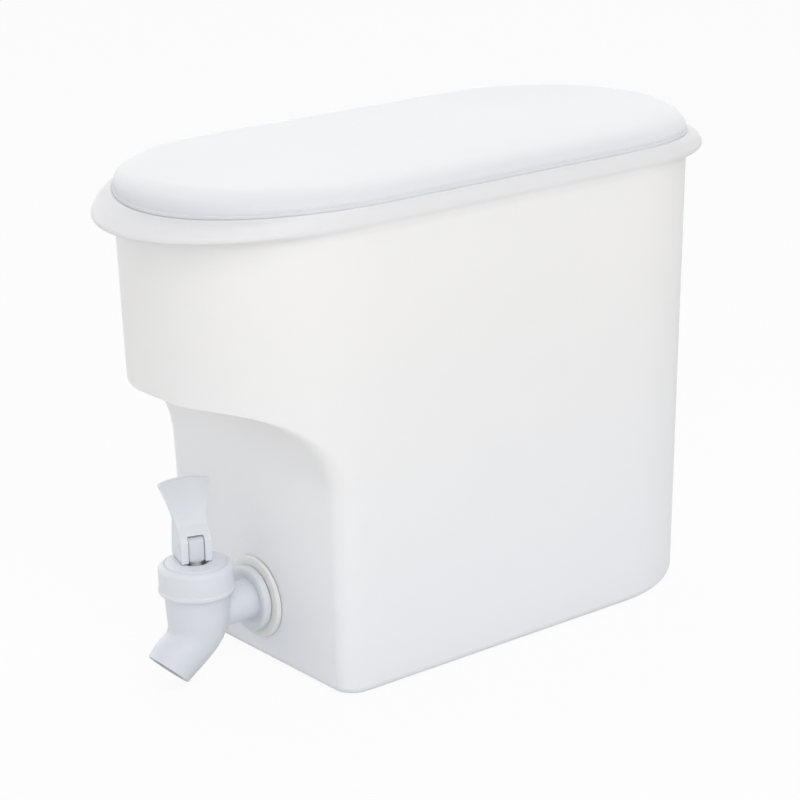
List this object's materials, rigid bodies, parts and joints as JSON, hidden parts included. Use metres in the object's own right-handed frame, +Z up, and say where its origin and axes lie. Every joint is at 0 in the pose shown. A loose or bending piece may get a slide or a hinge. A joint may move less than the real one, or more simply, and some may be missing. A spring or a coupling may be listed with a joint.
{
  "type": "fridge water jug with tap",
  "caption": "Oval plastic drinks jug for a fridge shelf, with a lift-off lid, end lifting ears and a swivelling push-lever tap set in a recess.",
  "frame": {"origin": "middle of the flat base", "axes": "+Z up, -Y towards the tap end, +X to the right seen from the tap end"},
  "size_m": [0.1212, 0.26, 0.1891],
  "materials": {
    "frosted_plastic": "frosted polypropylene, slightly translucent, soft sheen",
    "lid_plastic": "white moulded plastic, satin",
    "tap_plastic": "cool white moulded plastic, satin",
    "silicone": "translucent grey silicone rubber"
  },
  "bodies": {
    "jug": {"tub": "frosted_plastic", "tap_body": "tap_plastic", "outer_gasket": "silicone", "inner_gasket": "silicone", "lock_nut": "tap_plastic", "tap_cap": "tap_plastic", "diaphragm": "silicone"},
    "lid": {"lid": "lid_plastic"},
    "valve": {"valve_plug": "silicone"},
    "stem": {"valve_stem": "tap_plastic", "lever_pin": "tap_plastic"},
    "lever": {"lever": "tap_plastic"}
  },
  "joints": [
    {"name": "lid_lift", "type": "slide", "parent": "jug", "child": "lid", "axis": [0, 0, 1], "range_m": [0, 0.03]},
    {"name": "valve_lift", "type": "slide", "parent": "jug", "child": "valve", "axis": [0, 0, 1], "range_m": [0, 0.00419], "stiffness_N_per_m": 60, "springref_m": -0.003},
    {"name": "lever_swivel", "type": "hinge", "parent": "valve", "child": "stem", "pos_m": [0, -0.10353, 0.0511], "axis": [0, 0, 1], "continuous": true},
    {"name": "lever_tilt", "type": "hinge", "parent": "stem", "child": "lever", "pos_m": [0, -0.10353, 0.0511], "axis": [-0.2924, -0.9563, 0], "range_deg": [0, 30]}
  ],
  "couplings": [
    {"joint": "lever_tilt", "follows": "valve_lift", "rad_per_m": 125}
  ]
}
